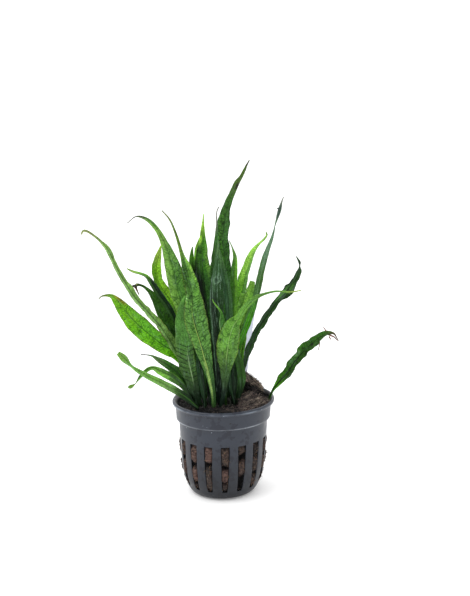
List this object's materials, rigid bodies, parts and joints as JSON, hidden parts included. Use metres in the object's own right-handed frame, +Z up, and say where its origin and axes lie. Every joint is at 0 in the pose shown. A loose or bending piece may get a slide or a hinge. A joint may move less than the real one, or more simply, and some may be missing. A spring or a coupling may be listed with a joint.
{
  "type": "potted java fern",
  "caption": "Tuft of narrow java fern leaves growing from a rhizome on brown wool in a slotted round net pot with a blank plant label.",
  "frame": {"origin": "on the surface that the pot's flat base stands on, under the middle of its rim", "axes": "+Z up out of the pot, +X to the right of the side seen in the picture, the side seen in the picture faces -Y"},
  "size_m": [0.1293, 0.0595, 0.1769],
  "materials": {
    "net_pot": "matte moulded polypropylene, slate grey, damp in patches",
    "wool": "wet brown fibrous wool with fine roots",
    "plant_label": "smooth pale plastic strip, blank",
    "rhizome": "dark green-brown rhizome skin",
    "leaf": "waxy green leaf with sunken net veins"
  },
  "bodies": {
    "root": {"arching_left_leaf": "leaf", "back_centre_leaf": "leaf", "back_centre_left_leaf": "leaf", "back_left_leaf": "leaf", "back_low_leaf": "leaf", "back_right_leaf": "leaf", "bright_inner_leaf": "leaf", "broad_left_leaf": "leaf", "centre_spike_leaf": "leaf", "crinkled_leaf": "leaf", "dark_base_right_leaf": "leaf", "dark_centre_leaf": "leaf", "dark_long_right_leaf": "leaf", "dark_narrow_leaf": "leaf", "drooping_low_left_leaf": "leaf", "far_left_arching_leaf": "leaf", "far_right_leaf": "leaf", "front_centre_leaf": "leaf", "front_left_leaf": "leaf", "front_right_broad_leaf": "leaf", "front_wool_lump": "wool", "light_right_leaf": "leaf", "low_left_dark_leaf": "leaf", "low_left_long_leaf": "leaf", "net_pot": "net_pot", "pale_inner_leaf": "leaf", "plant_label": "plant_label", "plantlet_leaf": "leaf", "rear_wool_mound": "wool", "rhizome": "rhizome", "short_green_leaf": "leaf", "small_front_left_leaf": "leaf", "small_front_right_leaf": "leaf", "small_right_leaf": "leaf", "stem_stub": "rhizome", "tall_right_leaf": "leaf", "tallest_leaf": "leaf", "thin_bright_leaf": "leaf", "thin_tip_leaf": "leaf", "torn_tip_leaf": "leaf", "twisted_dark_leaf": "leaf", "upright_left_leaf": "leaf", "wool_plug": "wool"}
  },
  "joints": []
}
